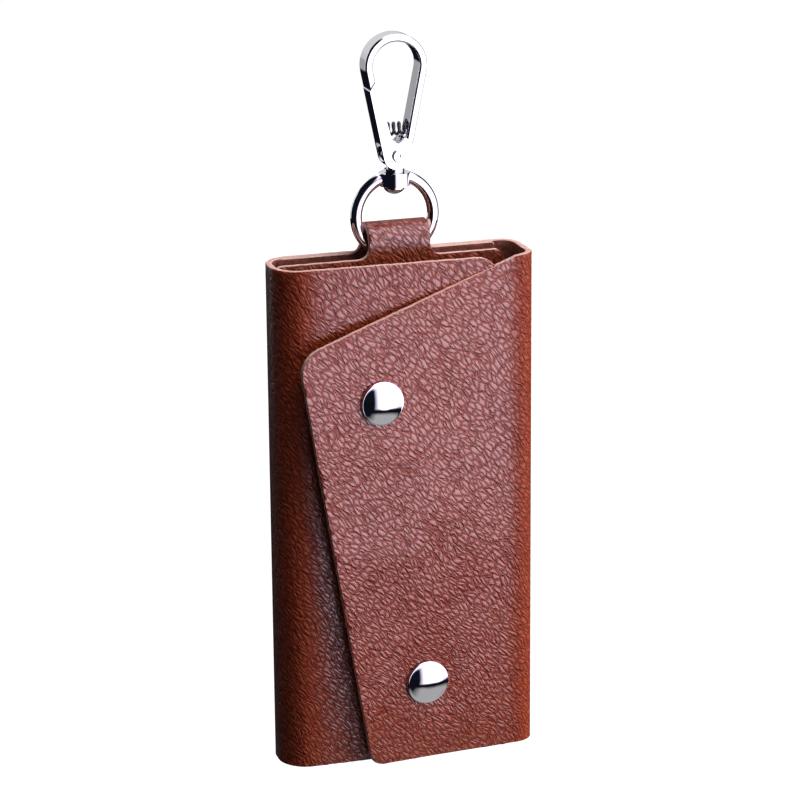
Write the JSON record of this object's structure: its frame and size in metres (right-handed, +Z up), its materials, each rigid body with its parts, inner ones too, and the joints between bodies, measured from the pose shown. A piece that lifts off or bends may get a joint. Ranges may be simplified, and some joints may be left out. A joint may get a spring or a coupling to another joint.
{
  "type": "key case",
  "caption": "Folding leather key case with a slanted snap flap, an inner key rack and a swivel trigger snap hook on a ring.",
  "frame": {"origin": "top of the opening of the snap hook, where the case hangs, midway through the hook's thickness", "axes": "+Z up along the case, +X to the right seen from the front, the flap and its snaps face -Y"},
  "size_m": [0.059, 0.0212, 0.1639],
  "materials": {
    "leather": "pebbled, semi-gloss",
    "inner_leather": "pebbled, semi-gloss",
    "chrome": "polished",
    "steel": "nickel plated"
  },
  "bodies": {
    "hook": {"hook_frame": "chrome", "gate_pin": "steel", "gate_spring": "steel"},
    "gate": {"gate": "chrome"},
    "ring": {"swivel_ring": "chrome"},
    "case": {"inner_panel": "inner_leather", "back_panel": "leather", "key_rack": "steel", "rack_rivets": "steel", "key_hook_pins": "steel"},
    "left_fold": {"left_fold": "leather"},
    "wing": {"left_wing": "leather", "upper_stud": "steel", "lower_stud": "steel", "upper_eyelet": "steel", "lower_eyelet": "steel"},
    "right_fold": {"right_fold": "leather"},
    "flap": {"flap": "leather", "upper_cap": "chrome", "lower_cap": "chrome", "upper_socket": "steel", "lower_socket": "steel"},
    "key_hook_1": {"key_hook_1": "steel"},
    "key_hook_2": {"key_hook_2": "steel"},
    "key_hook_3": {"key_hook_3": "steel"},
    "key_hook_4": {"key_hook_4": "steel"},
    "key_hook_5": {"key_hook_5": "steel"},
    "key_hook_6": {"key_hook_6": "steel"}
  },
  "joints": [
    {"name": "gate_hinge", "type": "hinge", "parent": "hook", "child": "gate", "pos_m": [0.00031, 0, -0.025], "axis": [0, 1, 0], "range_deg": [0, 22], "stiffness_Nm_per_rad": 0.04, "springref_deg": -11.46, "deforming": ["gate_spring"]},
    {"name": "swivel", "type": "hinge", "parent": "hook", "child": "ring", "pos_m": [0, 0, -0.029], "axis": [0, 0, 1], "continuous": true},
    {"name": "loop_swing", "type": "hinge", "parent": "ring", "child": "case", "pos_m": [0, 0, -0.0439], "axis": [1, 0, 0], "range_deg": [-20, 20]},
    {"name": "flap_open", "type": "hinge", "parent": "right_fold", "child": "flap", "pos_m": [0.02534, -0.01044, -0.16221], "axis": [0, 0, 1], "range_deg": [0, 120]},
    {"name": "right_fold_bend", "type": "hinge", "parent": "case", "child": "right_fold", "pos_m": [0.025, 0.00545, -0.16221], "axis": [0, 0, 1], "range_deg": [0, 60]},
    {"name": "left_fold_bend", "type": "hinge", "parent": "case", "child": "left_fold", "pos_m": [-0.0231, 0.00545, -0.16221], "axis": [0, 0, -1], "range_deg": [0, 12]},
    {"name": "wing_bend", "type": "hinge", "parent": "left_fold", "child": "wing", "pos_m": [-0.02294, -0.00945, -0.16221], "axis": [0, 0, -1], "range_deg": [0, 24]},
    {"name": "key_hook_1_swing", "type": "hinge", "parent": "case", "child": "key_hook_1", "pos_m": [-0.019, -0.00001, -0.06907], "axis": [0, 1, 0], "range_deg": [-4.5, 4.5]},
    {"name": "key_hook_2_swing", "type": "hinge", "parent": "case", "child": "key_hook_2", "pos_m": [-0.0114, -0.00001, -0.06907], "axis": [0, 1, 0], "range_deg": [-4.5, 4.5]},
    {"name": "key_hook_3_swing", "type": "hinge", "parent": "case", "child": "key_hook_3", "pos_m": [-0.0038, -0.00001, -0.06907], "axis": [0, 1, 0], "range_deg": [-4.5, 4.5]},
    {"name": "key_hook_4_swing", "type": "hinge", "parent": "case", "child": "key_hook_4", "pos_m": [0.0038, -0.00001, -0.06907], "axis": [0, 1, 0], "range_deg": [-4.5, 4.5]},
    {"name": "key_hook_5_swing", "type": "hinge", "parent": "case", "child": "key_hook_5", "pos_m": [0.0114, -0.00001, -0.06907], "axis": [0, 1, 0], "range_deg": [-4.5, 4.5]},
    {"name": "key_hook_6_swing", "type": "hinge", "parent": "case", "child": "key_hook_6", "pos_m": [0.019, -0.00001, -0.06907], "axis": [0, 1, 0], "range_deg": [-4.5, 4.5]}
  ],
  "couplings": [
    {"joint": "right_fold_bend", "follows": "flap_open", "ratio": 0.5},
    {"joint": "left_fold_bend", "follows": "flap_open", "ratio": 0.1},
    {"joint": "wing_bend", "follows": "flap_open", "ratio": 0.2}
  ]
}
